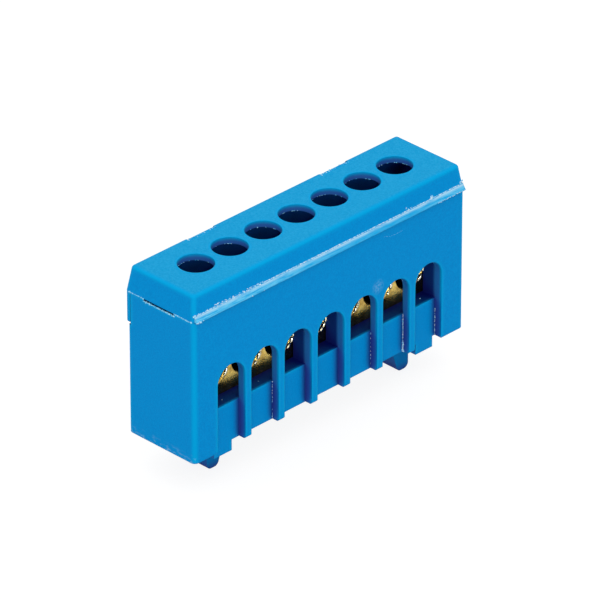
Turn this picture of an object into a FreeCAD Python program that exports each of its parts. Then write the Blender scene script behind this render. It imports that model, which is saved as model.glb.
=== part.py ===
import FreeCAD, Part
import math
import os
import re
import Sketcher

# Seven way neutral terminal block for a 35 mm mounting rail.
# X runs along the row of terminals, -Y is the wire entry side and +Z points away from the rail.
# The origin lies on the plane that meets the rail, midway along the row and in line with the clamp screws.

doc = FreeCAD.newDocument("neutral_terminal_block")
sheet = doc.addObject("Spreadsheet::Sheet", "Sizes")

SIZES = [
    # The row of terminals
    ("ways", 7),
    ("pitch", 6.5),
    ("end_margin", 4.5),
    # The housing
    ("front_depth", 6.8),
    ("back_depth", 6.25),
    ("seam_height", 22.4),
    ("corner_radius", 0.7),
    ("front_wall", 1.35),
    ("end_wall", 1.5),
    ("back_wall", 1.2),
    ("floor_top", 6.1),
    ("floor_thickness", 1.3),
    # Wire windows and the channels below them
    ("window_width", 5.33),
    ("arch_height", 10.5),
    ("channel_depth", 1.26),
    ("panel_wall", 1.1),
    # Underside webs, tabs and rail hooks
    ("web_thickness", 1.0),
    ("rail_width", 35.0),
    ("rail_edge", 1.0),
    ("rail_play", 0.4),
    ("hook_depth", 4.8),
    ("hook_width", 2.15),
    ("hook_drop", 5.6),
    ("hook_bite", 0.8),
    ("hook_slope", 0.1),
    ("hook_nose", 1.5),
    ("hook_tip_width", 2.1),
    ("hook_tip_radius", 0.85),
    ("tab_gap", 0.78),
    ("tab_width", 3.4),
    ("tab_drop", 1.7),
    ("rib_foot_radius", 0.4),
    # The cover
    ("cover_height", 3.9),
    ("cover_inset", 0.57),
    ("cover_plate", 1.05),
    ("cover_wall", 1.2),
    ("cover_edge_radius", 0.6),
    ("driver_hole_radius", 2.63),
    ("rim_drop", 1.2),
    ("rim_thickness", 0.8),
    ("rim_clearance", 0.1),
    ("lip_reach", 0.4),
    ("lip_edge", 0.12),
    ("lip_height", 0.95),
    ("lip_end_gap", 0.25),
    ("skirt_recess", 0.65),
    ("skirt_thickness", 0.95),
    ("skirt_length", 4.75),
    ("skirt_gap", 0.45),
    ("skirt_clearance", 0.05),
    ("skirt_edge_radius", 0.45),
    ("ledge_edge_radius", 0.4),
    ("notch_width", 5.5),
    ("notch_depth", 0.5),
    ("notch_ways", 2),
    ("barb_width", 4.5),
    ("barb_reach", 0.35),
    ("barb_height", 0.9),
    ("barb_rise", 0.5),
    ("barb_clearance", 0.08),
    ("pry_slot_width", 6.0),
    ("pry_slot_height", 0.35),
    # The busbar
    ("bar_depth", 6.0),
    ("bar_height", 10.0),
    ("bar_clearance", 0.1),
    ("wire_hole_radius", 2.65),
    ("wire_hole_chamfer", 0.2),
    # The clamp screws
    ("screw_radius", 1.62),
    ("thread_clearance", 0.04),
    ("screw_length", 6.0),
    ("screw_tip_gap", 0.15),
    ("screw_tip_chamfer", 0.4),
    ("head_radius", 2.8),
    ("head_height", 2.4),
    ("head_chamfer", 0.25),
    ("slot_width", 1.0),
    ("slot_depth", 1.2),
]


def fill_sheet():
    for row, (name, value) in enumerate(SIZES, start=1):
        sheet.set(f"A{row}", name)
        sheet.set(f"B{row}", str(value))
        sheet.setAlias(f"B{row}", name)
    doc.recompute()


ALIASES = {name for name, value in SIZES}

# How far a cut runs past the face it opens, in mm
OVERRUN = 1

# Lengths worked out from the sheet, each one an expression in its aliases
HALF_ROW = "( ( ways - 1 ) * pitch / 2 )"
HALF_LENGTH = "( ( ways - 1 ) * pitch / 2 + window_width / 2 + end_margin )"
RIB_WIDTH = "( pitch - window_width )"
UPPER_BACK = "( back_depth - skirt_recess )"
CAVITY_FRONT = "( 0 - front_depth + front_wall )"
CAVITY_BACK = f"( {UPPER_BACK} - back_wall )"
CAVITY_END = f"( {HALF_LENGTH} - end_wall )"
PANEL_FACE = "( 0 - front_depth + channel_depth )"
PANEL_BACK = "( 0 - front_depth + channel_depth + panel_wall )"
UNDERSIDE_BACK = "( back_depth - back_wall )"
UNDERSIDE_DEPTH = "( floor_top - floor_thickness )"
RECESS_BOTTOM = "( seam_height - skirt_length - skirt_gap )"
SKIRT_FACE = f"( {UPPER_BACK} + skirt_clearance )"
SKIRT_BACK = f"( {UPPER_BACK} + skirt_clearance + skirt_thickness )"
COVER_TOP = "( seam_height + cover_height )"
HOOK_NECK = "( rail_width / 2 + rail_play )"
BAR_END = f"( {CAVITY_END} - bar_clearance )"
BAR_TOP = "( floor_top + bar_height )"
SCREW_TIP = "( arch_height + wire_hole_radius + screw_tip_gap )"
HEAD_BOTTOM = f"( {SCREW_TIP} + screw_length )"
BARB_BOTTOM = "( seam_height - skirt_length + barb_rise )"
NOTCH_CENTRE = "( notch_ways * pitch )"


def size(text):
    """An expression that names the sheet before each alias."""
    return re.sub(r"[a-z_]+", lambda word: f"Sizes.{word[0]}" if word[0] in ALIASES else word[0], text)


def value(text):
    return float(sheet.evalExpression(size(text)))


def origin_part(body, role):
    for feature in body.Origin.OriginFeatures:
        if feature.Role == role:
            return feature
    raise RuntimeError(f"{body.Label} has no {role}")


def new_body(name):
    body = doc.addObject("PartDesign::Body", name)
    body.Label = name
    body.Placement = FreeCAD.Placement()
    return body


def new_sketch(body, name, role, offset="0"):
    """A sketch on one of the body's origin planes, moved along its normal by an expression."""
    sketch = body.newObject("Sketcher::SketchObject", name)
    sketch.AttachmentSupport = (origin_part(body, role), [""])
    sketch.MapMode = "FlatFace"
    sketch.setExpression("AttachmentOffset.Base.z", size(offset))
    return sketch


def bind(sketch, constraint, text):
    """Adds a dimension to a sketch and ties it to an expression."""
    index = sketch.addConstraint(constraint)
    sketch.setExpression(f"Constraints[{index}]", size(text))


def pin_point(sketch, line, end, across, up):
    bind(sketch, Sketcher.Constraint("DistanceX", -1, 1, line, end, value(across)), across)
    bind(sketch, Sketcher.Constraint("DistanceY", -1, 1, line, end, value(up)), up)


def draw_outline(sketch, points):
    """A closed outline of straight lines through points, each given by two expressions."""
    places = [FreeCAD.Vector(value(across), value(up), 0) for across, up in points]
    lines = []
    for start, end in zip(places, places[1:] + places[:1]):
        lines.append(sketch.addGeometry(Part.LineSegment(start, end)))
    for line, following in zip(lines, lines[1:] + lines[:1]):
        sketch.addConstraint(Sketcher.Constraint("Coincident", line, 2, following, 1))
    for line, (across, up) in zip(lines, points):
        pin_point(sketch, line, 1, across, up)


def draw_rectangle(sketch, low_x, high_x, low_y, high_y):
    draw_outline(sketch, [(low_x, low_y), (high_x, low_y), (high_x, high_y), (low_x, high_y)])


def draw_circle(sketch, across, up, radius):
    centre = FreeCAD.Vector(value(across), value(up), 0)
    circle = sketch.addGeometry(Part.Circle(centre, FreeCAD.Vector(0, 0, 1), value(radius)))
    pin_point(sketch, circle, 3, across, up)
    bind(sketch, Sketcher.Constraint("Radius", circle, value(radius)), radius)


def draw_arch(sketch, across, bottom, spring, radius):
    """A window outline: two upright sides on a level sill under a half-round head."""
    x, y, r = value(across), value(bottom), value(radius)
    top = value(spring)
    sill = sketch.addGeometry(Part.LineSegment(FreeCAD.Vector(x - r, y, 0), FreeCAD.Vector(x + r, y, 0)))
    right = sketch.addGeometry(Part.LineSegment(FreeCAD.Vector(x + r, y, 0), FreeCAD.Vector(x + r, top, 0)))
    circle = Part.Circle(FreeCAD.Vector(x, top, 0), FreeCAD.Vector(0, 0, 1), r)
    head = sketch.addGeometry(Part.ArcOfCircle(circle, 0, math.pi))
    left = sketch.addGeometry(Part.LineSegment(FreeCAD.Vector(x - r, top, 0), FreeCAD.Vector(x - r, y, 0)))
    sketch.addConstraint(Sketcher.Constraint("Coincident", sill, 2, right, 1))
    sketch.addConstraint(Sketcher.Constraint("Coincident", left, 2, sill, 1))
    sketch.addConstraint(Sketcher.Constraint("Horizontal", sill))
    sketch.addConstraint(Sketcher.Constraint("Tangent", right, 2, head, 1))
    sketch.addConstraint(Sketcher.Constraint("Tangent", head, 2, left, 1))
    pin_point(sketch, head, 3, across, spring)
    bind(sketch, Sketcher.Constraint("Radius", head, r), radius)
    bind(sketch, Sketcher.Constraint("DistanceY", -1, 1, sill, 1, y), bottom)


def draw_edge_round(sketch, across, up, radius, solid_above):
    """What rounding takes off a square edge on the right of the solid, at its bottom or its top."""
    sign = 1 if solid_above else -1
    x, y, r = value(across), value(up), value(radius)
    corner, side_end = FreeCAD.Vector(x, y, 0), FreeCAD.Vector(x, y + sign * r, 0)
    level = sketch.addGeometry(Part.LineSegment(FreeCAD.Vector(x - r, y, 0), corner))
    upright = sketch.addGeometry(Part.LineSegment(corner, side_end))
    circle = Part.Circle(FreeCAD.Vector(x - r, y + sign * r, 0), FreeCAD.Vector(0, 0, 1), r)
    start = -math.pi / 2 if solid_above else 0
    arc = sketch.addGeometry(Part.ArcOfCircle(circle, start, start + math.pi / 2))
    level_end, upright_end = (1, 2) if solid_above else (2, 1)
    sketch.addConstraint(Sketcher.Constraint("Coincident", level, 2, upright, 1))
    sketch.addConstraint(Sketcher.Constraint("Tangent", level, 1, arc, level_end))
    sketch.addConstraint(Sketcher.Constraint("Coincident", upright, 2, arc, upright_end))
    sketch.addConstraint(Sketcher.Constraint("Horizontal", level))
    centre_up = f"{up} {'+' if solid_above else '-'} {radius}"
    pin_point(sketch, level, 2, across, up)
    pin_point(sketch, arc, 3, f"{across} - {radius}", centre_up)
    bind(sketch, Sketcher.Constraint("DistanceY", -1, 1, upright, 2, value(centre_up)), centre_up)


def extrude(body, kind, name, sketch, length, reverse=False, both_ways=False):
    """A pad or pocket of a sketch, with its length tied to an expression."""
    feature = body.newObject(f"PartDesign::{kind}", name)
    feature.Profile = sketch
    feature.setExpression("Length", size(length))
    feature.Reversed = reverse
    feature.Midplane = both_ways
    sketch.Visibility = False
    doc.recompute()
    return feature


def mirror(body, name, features):
    feature = body.newObject("PartDesign::Mirrored", name)
    feature.Originals = features
    feature.MirrorPlane = (origin_part(body, "YZ_Plane"), [""])
    body.Tip = feature
    doc.recompute()
    return feature


def repeat(body, name, features, copies, length):
    feature = body.newObject("PartDesign::LinearPattern", name)
    feature.Originals = features
    feature.Direction = (origin_part(body, "X_Axis"), [""])
    feature.setExpression("Length", size(length))
    feature.setExpression("Occurrences", size(copies))
    body.Tip = feature
    doc.recompute()
    return feature


def edges_where(body, test):
    """Names of the edges of a body's last feature whose middle point and box pass a test."""
    found = []
    for number, edge in enumerate(body.Tip.Shape.Edges, start=1):
        if test(edge, edge.BoundBox):
            found.append(f"Edge{number}")
    return found


def near(first, second):
    return abs(first - second) < 1e-4


def dress_edges(body, name, kind, amount, edges):
    """A fillet or chamfer of named edges of the body's last feature."""
    base = body.Tip
    feature = body.newObject(f"PartDesign::{kind}", name)
    feature.Base = (base, edges)
    feature.setExpression("Radius" if kind == "Fillet" else "Size", size(amount))
    body.Tip = feature
    doc.recompute()
    return feature


def draft_sides(body, name, low, high, slope):
    """Tilts the flat sides between two levels inwards, about the plane of the lower level."""
    base = body.Tip
    sides = []
    neutral = None
    for number, face in enumerate(base.Shape.Faces, start=1):
        box = face.BoundBox
        if near(box.ZMin, low) and near(box.ZMax, high):
            sides.append(f"Face{number}")
        elif near(box.ZMin, low) and near(box.ZMax, low):
            neutral = f"Face{number}"
    feature = body.newObject("PartDesign::Draft", name)
    feature.Base = (base, sides)
    feature.NeutralPlane = (base, [neutral])
    feature.setExpression("Angle", size(slope))
    body.Tip = feature
    doc.recompute()
    return feature


def corner_edges(body, x, y_values):
    """Upright edges at the outer corners of a body."""
    def test(edge, box):
        upright = box.ZLength > max(box.XLength, box.YLength) * 3
        at_corner = any(near(box.YMin, y) or near(box.YMax, y) for y in y_values)
        return upright and at_corner and (near(abs(box.XMin), x) or near(abs(box.XMax), x))
    return edges_where(body, test)


def build_housing():
    """The moulded base: channelled front wall, cavity for the bar and hooks for the rail."""
    body = new_body("housing")

    sketch = new_sketch(body, "housing_outline", "XY_Plane")
    draw_rectangle(sketch, f"0 - {HALF_LENGTH}", HALF_LENGTH, "0 - front_depth", "back_depth")
    extrude(body, "Pad", "housing_block", sketch, "seam_height")
    corners = corner_edges(body, value(HALF_LENGTH), (-value("front_depth"), value("back_depth")))
    dress_edges(body, "housing_corners", "Fillet", "corner_radius", corners)

    sketch = new_sketch(body, "cavity_outline", "XY_Plane", "seam_height")
    draw_rectangle(sketch, f"0 - {CAVITY_END}", CAVITY_END, CAVITY_FRONT, CAVITY_BACK)
    extrude(body, "Pocket", "cavity", sketch, "seam_height - floor_top")

    sketch = new_sketch(body, "skirt_recess_outline", "XY_Plane", "seam_height")
    past_end = f"( {HALF_LENGTH} + {OVERRUN} )"
    draw_rectangle(sketch, f"0 - {past_end}", past_end, UPPER_BACK, f"back_depth + {OVERRUN}")
    extrude(body, "Pocket", "skirt_recess", sketch, f"seam_height - {RECESS_BOTTOM}")
    sketch = new_sketch(body, "ledge_edge_outline", "YZ_Plane")
    draw_edge_round(sketch, "back_depth", RECESS_BOTTOM, "ledge_edge_radius", solid_above=False)
    extrude(body, "Pocket", "ledge_edge", sketch, f"{past_end} * 2", both_ways=True)

    sketch = new_sketch(body, "underside_outline", "XY_Plane")
    draw_rectangle(sketch, f"0 - {CAVITY_END}", CAVITY_END, PANEL_BACK, UNDERSIDE_BACK)
    extrude(body, "Pocket", "underside", sketch, UNDERSIDE_DEPTH, reverse=True)

    build_wire_windows(body)
    build_bar_guides(body)
    build_underside_webs(body)
    build_rail_hooks(body)
    build_cover_seats(body)
    return body


def build_wire_windows(body):
    """One arched window per terminal, above a shallow channel that leads the wire in."""
    first = f"0 - {HALF_ROW}"
    sketch = new_sketch(body, "window_outline", "XZ_Plane", "front_depth")
    draw_arch(sketch, first, "floor_top", "arch_height", "window_width / 2")
    window = extrude(body, "Pocket", "wire_window", sketch, "front_wall")

    sketch = new_sketch(body, "channel_outline", "XZ_Plane", "front_depth")
    left = f"{first} - window_width / 2"
    right = f"{first} + window_width / 2"
    draw_rectangle(sketch, left, right, f"0 - {OVERRUN}", "floor_top")
    channel = extrude(body, "Pocket", "wire_channel", sketch, "channel_depth")
    repeat(body, "wire_entries", [window, channel], "ways", "( ways - 1 ) * pitch")
    front = -value("front_depth")

    def rib_foot(edge, box):
        on_edge = near(box.YMin, front) and near(box.YMax, front) and near(box.ZMax, 0) and near(box.ZMin, 0)
        return on_edge and near(box.XLength, value(RIB_WIDTH))

    dress_edges(body, "rib_feet", "Fillet", "rib_foot_radius", edges_where(body, rib_foot))


def build_bar_guides(body):
    """Short partitions in front of and behind the bar, in line with the ribs between windows."""
    bar_gap = "( bar_depth / 2 + bar_clearance )"
    sketch = new_sketch(body, "guide_outline", "XY_Plane", "floor_top")
    for centre in ("( pitch / 2 )", f"( {HALF_ROW} + pitch / 2 )"):
        left = f"{centre} - {RIB_WIDTH} / 2"
        right = f"{centre} + {RIB_WIDTH} / 2"
        draw_rectangle(sketch, left, right, CAVITY_FRONT, f"0 - {bar_gap}")
        draw_rectangle(sketch, left, right, bar_gap, CAVITY_BACK)
    guides = extrude(body, "Pad", "bar_guides", sketch, "bar_height")
    mirror(body, "bar_guides_both_ends", [guides])


def build_underside_webs(body):
    """Cross webs that stiffen the cored-out underside."""
    sketch = new_sketch(body, "web_outline", "XY_Plane")
    for centre in ("( pitch / 2 )", "( pitch * 3 / 2 )"):
        left = f"{centre} - web_thickness / 2"
        right = f"{centre} + web_thickness / 2"
        draw_rectangle(sketch, left, right, PANEL_BACK, UNDERSIDE_BACK)
    webs = extrude(body, "Pad", "underside_webs", sketch, UNDERSIDE_DEPTH)
    mirror(body, "underside_webs_both_sides", [webs])


def build_rail_hooks(body):
    """Two hooks that snap under the edges of the rail, each on a thick web, and two front tabs."""
    outer = f"( {HOOK_NECK} + hook_width )"
    sketch = new_sketch(body, "hook_web_outline", "XY_Plane")
    draw_rectangle(sketch, HOOK_NECK, outer, PANEL_BACK, UNDERSIDE_BACK)
    web = extrude(body, "Pad", "hook_web", sketch, UNDERSIDE_DEPTH)

    nose = f"( {HOOK_NECK} - hook_bite )"
    shelf = "( 0 - rail_edge - rail_play )"
    sketch = new_sketch(body, "hook_outline", "XZ_Plane")
    draw_outline(sketch, [
        (HOOK_NECK, "0"),
        (HOOK_NECK, shelf),
        (nose, f"{shelf} - hook_slope"),
        (nose, f"{shelf} - hook_nose"),
        (f"{outer} - hook_tip_width", "0 - hook_drop"),
        (outer, "0 - hook_drop"),
        (outer, "0"),
    ])
    hook = extrude(body, "Pad", "rail_hook", sketch, "hook_depth", both_ways=True)

    tab_start = f"( {HOOK_NECK} - rail_play + tab_gap )"
    sketch = new_sketch(body, "tab_outline", "XY_Plane")
    draw_rectangle(sketch, tab_start, f"{tab_start} + tab_width", PANEL_FACE, PANEL_BACK)
    tab = extrude(body, "Pad", "rail_tab", sketch, "tab_drop", reverse=True)
    mirror(body, "rail_grips_both_sides", [web, hook, tab])
    tip = -value("hook_drop")

    def tip_edge(edge, box):
        return near(box.ZMin, tip) and near(box.ZMax, tip) and near(box.XLength, 0)

    dress_edges(body, "hook_tips", "Fillet", "hook_tip_radius", edges_where(body, tip_edge))


def build_cover_seats(body):
    """Slots for levering the cover off and pockets that take its barbs."""
    sketch = new_sketch(body, "pry_slot_outline", "YZ_Plane")
    half = "pry_slot_width / 2"
    draw_rectangle(sketch, f"0 - {half}", half, "seam_height - pry_slot_height", f"seam_height + {OVERRUN}")
    extrude(body, "Pocket", "pry_slots", sketch, f"( {HALF_LENGTH} + {OVERRUN} ) * 2", both_ways=True)

    sketch = new_sketch(body, "barb_pocket_outline", "XZ_Plane", f"0 - {UPPER_BACK}")
    half = "( barb_width / 2 + barb_clearance )"
    low = f"{BARB_BOTTOM} - barb_clearance"
    high = f"{BARB_BOTTOM} + barb_height + barb_clearance"
    draw_rectangle(sketch, f"{NOTCH_CENTRE} - {half}", f"{NOTCH_CENTRE} + {half}", low, high)
    pocket = extrude(body, "Pocket", "barb_pocket", sketch, "barb_reach + barb_clearance", reverse=True)
    mirror(body, "barb_pockets_both_sides", [pocket])


def build_cover():
    """The snap-on cover: drafted sides, driver holes, front lip and a back skirt with barbs."""
    body = new_body("cover")
    sketch = new_sketch(body, "cover_outline", "XY_Plane", "seam_height")
    draw_rectangle(sketch, f"0 - {HALF_LENGTH}", HALF_LENGTH, "0 - front_depth", SKIRT_BACK)
    extrude(body, "Pad", "cover_block", sketch, "cover_height")
    top = value(COVER_TOP)
    draft_sides(body, "cover_draft", value("seam_height"), top, "atan(cover_inset / cover_height)")
    corners = edges_where(body, lambda edge, box: near(box.ZLength, value("cover_height")))
    rim = edges_where(body, lambda edge, box: near(box.ZMin, top) and near(box.ZMax, top))
    dress_edges(body, "cover_rounds", "Fillet", "cover_edge_radius", corners + rim)
    build_cover_skirt(body)

    inner_end = f"( {HALF_LENGTH} - cover_inset - cover_wall )"
    inner_front = "( 0 - front_depth + cover_inset + cover_wall )"
    inner_back = f"( {CAVITY_BACK} - rim_clearance - rim_thickness )"
    sketch = new_sketch(body, "cover_hollow_outline", "XY_Plane", "seam_height")
    draw_rectangle(sketch, f"0 - {inner_end}", inner_end, inner_front, inner_back)
    extrude(body, "Pocket", "cover_hollow", sketch, "cover_height - cover_plate", reverse=True)

    build_driver_holes(body)
    build_cover_rim(body)
    build_cover_barbs(body)
    build_cover_lip(body)
    build_cover_notches(body)
    return body


def build_driver_holes(body):
    sketch = new_sketch(body, "driver_hole_outline", "XY_Plane", COVER_TOP)
    draw_circle(sketch, f"0 - {HALF_ROW}", "0", "driver_hole_radius")
    hole = extrude(body, "Pocket", "driver_hole", sketch, "cover_plate")
    repeat(body, "driver_holes", [hole], "ways", "( ways - 1 ) * pitch")


def build_cover_rim(body):
    """A rim under the cover that drops into the housing's cavity and locates it."""
    outer_end = f"( {CAVITY_END} - rim_clearance )"
    outer_front = f"( {CAVITY_FRONT} + rim_clearance )"
    outer_back = f"( {CAVITY_BACK} - rim_clearance )"
    sketch = new_sketch(body, "rim_outline", "XY_Plane", "seam_height - rim_drop")
    draw_rectangle(sketch, f"0 - {outer_end}", outer_end, outer_front, outer_back)
    draw_rectangle(
        sketch,
        f"0 - {outer_end} + rim_thickness",
        f"{outer_end} - rim_thickness",
        f"{outer_front} + rim_thickness",
        f"{outer_back} - rim_thickness",
    )
    extrude(body, "Pad", "cover_rim", sketch, "rim_drop + cover_wall")


def build_cover_skirt(body):
    """The back skirt that hangs over the housing's recessed back wall."""
    sketch = new_sketch(body, "skirt_outline", "XY_Plane", "seam_height")
    draw_skirt_section(sketch)
    extrude(body, "Pad", "cover_skirt", sketch, "skirt_length", reverse=True)

    sketch = new_sketch(body, "skirt_edge_outline", "YZ_Plane")
    draw_edge_round(sketch, SKIRT_BACK, "seam_height - skirt_length", "skirt_edge_radius", solid_above=True)
    extrude(body, "Pocket", "skirt_edge", sketch, f"( {HALF_LENGTH} + {OVERRUN} ) * 2", both_ways=True)


def draw_skirt_section(sketch):
    """The skirt seen from above: a strip whose two outer corners are rounded."""
    end, radius = value(HALF_LENGTH), value("cover_edge_radius")
    face, back = value(SKIRT_FACE), value(SKIRT_BACK)
    corners = [
        (-end, face),
        (end, face),
        (end, back - radius),
        (end - radius, back),
        (radius - end, back),
        (-end, back - radius),
    ]
    places = [FreeCAD.Vector(x, y, 0) for x, y in corners]
    inner = sketch.addGeometry(Part.LineSegment(places[0], places[1]))
    right = sketch.addGeometry(Part.LineSegment(places[1], places[2]))
    outer = sketch.addGeometry(Part.LineSegment(places[3], places[4]))
    left = sketch.addGeometry(Part.LineSegment(places[5], places[0]))
    turn = math.pi / 2
    up = FreeCAD.Vector(0, 0, 1)
    right_circle = Part.Circle(FreeCAD.Vector(end - radius, back - radius, 0), up, radius)
    left_circle = Part.Circle(FreeCAD.Vector(radius - end, back - radius, 0), up, radius)
    right_arc = sketch.addGeometry(Part.ArcOfCircle(right_circle, 0, turn))
    left_arc = sketch.addGeometry(Part.ArcOfCircle(left_circle, turn, turn * 2))
    sketch.addConstraint(Sketcher.Constraint("Coincident", inner, 2, right, 1))
    sketch.addConstraint(Sketcher.Constraint("Coincident", left, 2, inner, 1))
    sketch.addConstraint(Sketcher.Constraint("Tangent", right, 2, right_arc, 1))
    sketch.addConstraint(Sketcher.Constraint("Tangent", outer, 1, right_arc, 2))
    sketch.addConstraint(Sketcher.Constraint("Tangent", outer, 2, left_arc, 1))
    sketch.addConstraint(Sketcher.Constraint("Tangent", left, 1, left_arc, 2))
    pin_point(sketch, inner, 1, f"0 - {HALF_LENGTH}", SKIRT_FACE)
    pin_point(sketch, inner, 2, HALF_LENGTH, SKIRT_FACE)
    arc_height = f"{SKIRT_BACK} - cover_edge_radius"
    pin_point(sketch, right_arc, 3, f"{HALF_LENGTH} - cover_edge_radius", arc_height)
    pin_point(sketch, left_arc, 3, f"cover_edge_radius - {HALF_LENGTH}", arc_height)


def build_cover_barbs(body):
    """Two barbs inside the skirt that snap into the housing's back wall."""
    sketch = new_sketch(body, "barb_outline", "YZ_Plane", f"{NOTCH_CENTRE} - barb_width / 2")
    top = f"{BARB_BOTTOM} + barb_height"
    draw_outline(sketch, [
        (f"{SKIRT_FACE} + skirt_thickness / 2", BARB_BOTTOM),
        (SKIRT_FACE, BARB_BOTTOM),
        (f"{UPPER_BACK} - barb_reach", f"{top} - barb_reach"),
        (f"{UPPER_BACK} - barb_reach", top),
        (f"{SKIRT_FACE} + skirt_thickness / 2", top),
    ])
    barb = extrude(body, "Pad", "barb", sketch, "barb_width")
    mirror(body, "barbs_both_sides", [barb])


def build_cover_lip(body):
    """A bevelled lip along the bottom of the front face, to lift the cover by."""
    front = "( 0 - front_depth )"
    sketch = new_sketch(body, "lip_outline", "YZ_Plane")
    draw_outline(sketch, [
        (f"{front} + cover_wall / 2", "seam_height"),
        (f"{front} - lip_reach", "seam_height"),
        (f"{front} - lip_reach", "seam_height + lip_edge"),
        (f"{front} + cover_inset * lip_height / cover_height", "seam_height + lip_height"),
        (f"{front} + cover_wall / 2", "seam_height + lip_height"),
    ])
    extrude(body, "Pad", "cover_lip", sketch, f"( {HALF_LENGTH} - lip_end_gap ) * 2", both_ways=True)


def build_cover_notches(body):
    """Notches in the back of the cover, above the two barbs."""
    sketch = new_sketch(body, "notch_outline", "XY_Plane", COVER_TOP)
    start = f"{SKIRT_BACK} - cover_inset - notch_depth"
    left = f"{NOTCH_CENTRE} - notch_width / 2"
    right = f"{NOTCH_CENTRE} + notch_width / 2"
    draw_rectangle(sketch, left, right, start, f"{SKIRT_BACK} + {OVERRUN}")
    notch = extrude(body, "Pocket", "notch", sketch, "cover_height")
    mirror(body, "notches_both_sides", [notch])


def build_busbar():
    """The brass bar: one wire hole and one tapped screw hole per terminal."""
    body = new_body("busbar")
    sketch = new_sketch(body, "bar_outline", "XY_Plane", "floor_top")
    draw_rectangle(sketch, f"0 - {BAR_END}", BAR_END, "0 - bar_depth / 2", "bar_depth / 2")
    extrude(body, "Pad", "bar_blank", sketch, "bar_height")

    first = f"0 - {HALF_ROW}"
    sketch = new_sketch(body, "wire_hole_outline", "XZ_Plane")
    draw_circle(sketch, first, "arch_height", "wire_hole_radius")
    wire_hole = extrude(body, "Pocket", "wire_hole", sketch, f"bar_depth + {OVERRUN} * 2", both_ways=True)

    sketch = new_sketch(body, "screw_hole_outline", "XY_Plane", BAR_TOP)
    draw_circle(sketch, first, "0", "screw_radius + thread_clearance")
    screw_hole = extrude(body, "Pocket", "screw_hole", sketch, f"{BAR_TOP} - arch_height")
    repeat(body, "terminal_holes", [wire_hole, screw_hole], "ways", "( ways - 1 ) * pitch")

    front = -value("bar_depth / 2")

    def wire_hole_mouth(edge, box):
        on_front = near(box.YMin, front) and near(box.YMax, front)
        return on_front and near(box.XLength, 2 * value("wire_hole_radius"))

    land = "( pitch - wire_hole_radius * 2 )"
    chamfer = f"min(wire_hole_chamfer; {land} / 3)"
    dress_edges(body, "wire_hole_mouths", "Chamfer", chamfer, edges_where(body, wire_hole_mouth))
    return body


def build_screw(number):
    """A slotted clamp screw, backed out so that its tip clears the wire hole."""
    body = new_body(f"clamp_screw_{number}")
    sketch = new_sketch(body, f"screw_profile_{number}", "XZ_Plane")
    draw_outline(sketch, [
        ("0", "0"),
        ("screw_radius - screw_tip_chamfer", "0"),
        ("screw_radius", "screw_tip_chamfer"),
        ("screw_radius", "screw_length"),
        ("head_radius", "screw_length"),
        ("head_radius", "screw_length + head_height - head_chamfer"),
        ("head_radius - head_chamfer", "screw_length + head_height"),
        ("0", "screw_length + head_height"),
    ])
    turned = body.newObject("PartDesign::Revolution", f"screw_turned_{number}")
    turned.Profile = sketch
    turned.ReferenceAxis = (sketch, ["V_Axis"])
    turned.Angle = 360
    sketch.Visibility = False
    doc.recompute()

    sketch = new_sketch(body, f"slot_outline_{number}", "YZ_Plane")
    half = "slot_width / 2"
    top = "screw_length + head_height"
    draw_rectangle(sketch, f"0 - {half}", half, f"{top} - slot_depth", f"{top} + {OVERRUN}")
    slot_length = f"( head_radius + {OVERRUN} ) * 2"
    extrude(body, "Pocket", f"driver_slot_{number}", sketch, slot_length, both_ways=True)
    body.setExpression("Placement.Base.x", size(f"( {number} - 1 ) * pitch - {HALF_ROW}"))
    body.setExpression("Placement.Base.z", size(SCREW_TIP))
    return body


def check_document(bodies):
    doc.recompute()
    for item in doc.Objects:
        if "Invalid" in item.State or "Error" in item.State:
            raise RuntimeError(f"{item.Name} failed: {item.State} {item.getStatusString()}")
    for body in bodies:
        if body.Shape.isNull() or not body.Shape.isValid():
            raise RuntimeError(f"{body.Label} has no valid shape")


def export_parts(bodies):
    os.makedirs("parts", exist_ok=True)
    for body in bodies:
        body.Shape.exportStep(f"parts/{body.Label}.step")
        box = body.Shape.BoundBox
        print(body.Label, len(body.Shape.Solids), round(body.Shape.Volume, 2), box)


fill_sheet()
parts = [build_housing(), build_cover(), build_busbar()]
for way in range(1, int(value("ways")) + 1):
    parts.append(build_screw(way))
check_document(parts)
export_parts(parts)
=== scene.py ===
import math
import random

import bmesh
import bpy
from mathutils import Matrix, Vector


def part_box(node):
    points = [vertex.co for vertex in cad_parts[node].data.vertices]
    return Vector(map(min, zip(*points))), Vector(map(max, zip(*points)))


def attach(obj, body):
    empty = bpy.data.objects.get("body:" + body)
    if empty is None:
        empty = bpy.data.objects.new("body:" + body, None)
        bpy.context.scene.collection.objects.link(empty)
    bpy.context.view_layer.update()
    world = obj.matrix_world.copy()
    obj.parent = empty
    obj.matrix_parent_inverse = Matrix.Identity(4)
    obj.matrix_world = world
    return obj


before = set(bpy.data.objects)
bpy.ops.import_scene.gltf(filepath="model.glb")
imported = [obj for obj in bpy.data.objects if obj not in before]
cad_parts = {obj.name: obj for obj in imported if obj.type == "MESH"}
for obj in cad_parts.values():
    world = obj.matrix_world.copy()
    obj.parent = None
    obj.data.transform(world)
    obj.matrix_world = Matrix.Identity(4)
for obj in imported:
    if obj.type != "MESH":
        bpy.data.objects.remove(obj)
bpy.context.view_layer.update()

MM = 0.001

# Sizes read from the solids
HOUSING_LOW, HOUSING_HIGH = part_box("housing")
COVER_LOW, COVER_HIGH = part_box("cover")
BAR_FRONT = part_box("busbar")[0].y
HALF_LENGTH = HOUSING_HIGH.x
FRONT = HOUSING_LOW.y
BACK = HOUSING_HIGH.y
SEAM = HOUSING_HIGH.z
FLOOR_LEVEL = HOUSING_LOW.z
COVER_TOP = COVER_HIGH.z
LIP_FRONT = COVER_LOW.y

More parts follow.
